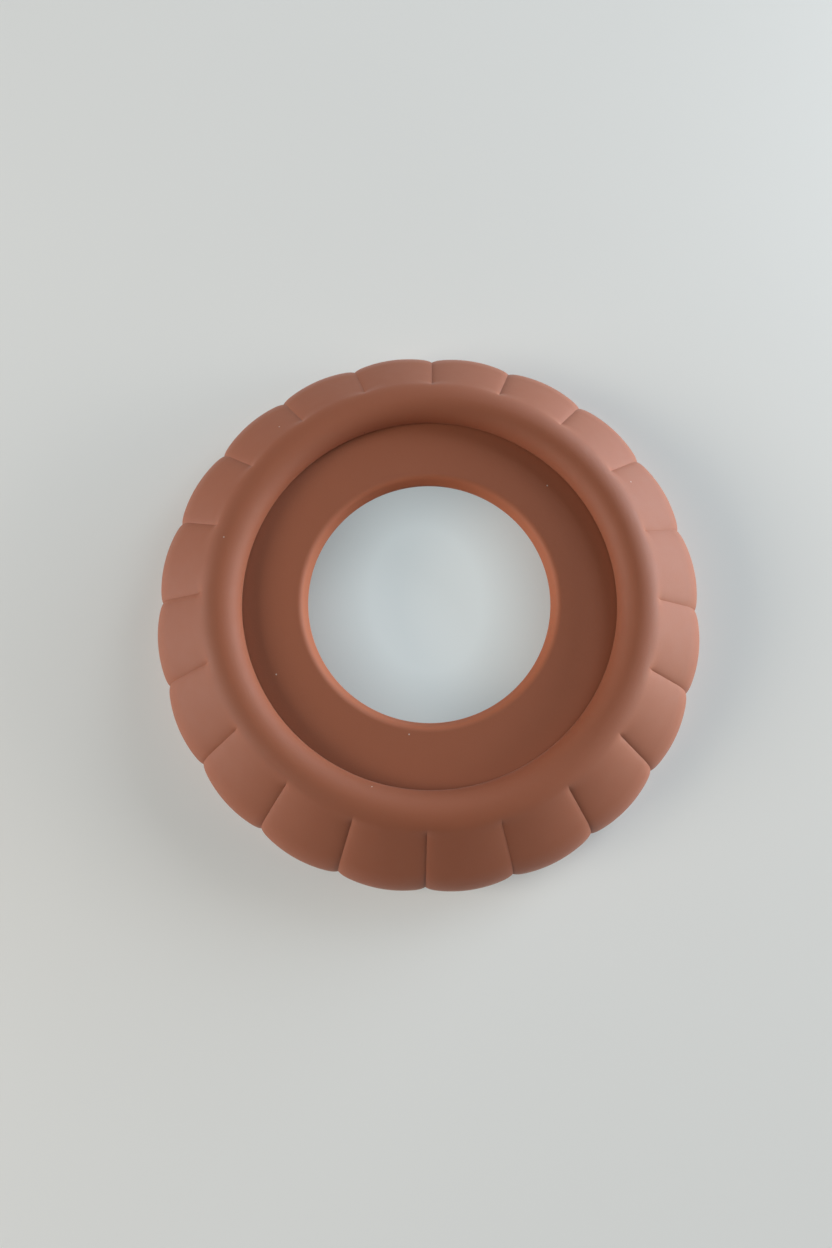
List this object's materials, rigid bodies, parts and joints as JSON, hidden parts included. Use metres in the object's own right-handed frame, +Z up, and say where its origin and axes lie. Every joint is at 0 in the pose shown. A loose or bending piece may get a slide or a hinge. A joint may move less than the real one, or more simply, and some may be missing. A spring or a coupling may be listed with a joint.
{
  "type": "teething ring",
  "caption": "Soft terracotta silicone teething ring with a scalloped sloping wall, a smooth rounded ridge and a shallow recess round a central hole.",
  "frame": {"origin": "Centre of the ring's foot, on the surface that it stands on.", "axes": "+Z runs up the ring's axis, out of the recess. +X and +Y lie in the plane of the foot, each through the middle of a lobe."},
  "size_m": [0.11, 0.11, 0.0182],
  "materials": {
    "terracotta_silicone": "matte terracotta silicone with a soft sheen",
    "pale_plastic": "uncoloured moulded plastic, out of sight inside the ring"
  },
  "bodies": {
    "root": {"scalloped_cover": "terracotta_silicone", "recess_web": "terracotta_silicone", "base_ring": "terracotta_silicone", "core_hoop": "pale_plastic"}
  },
  "joints": []
}
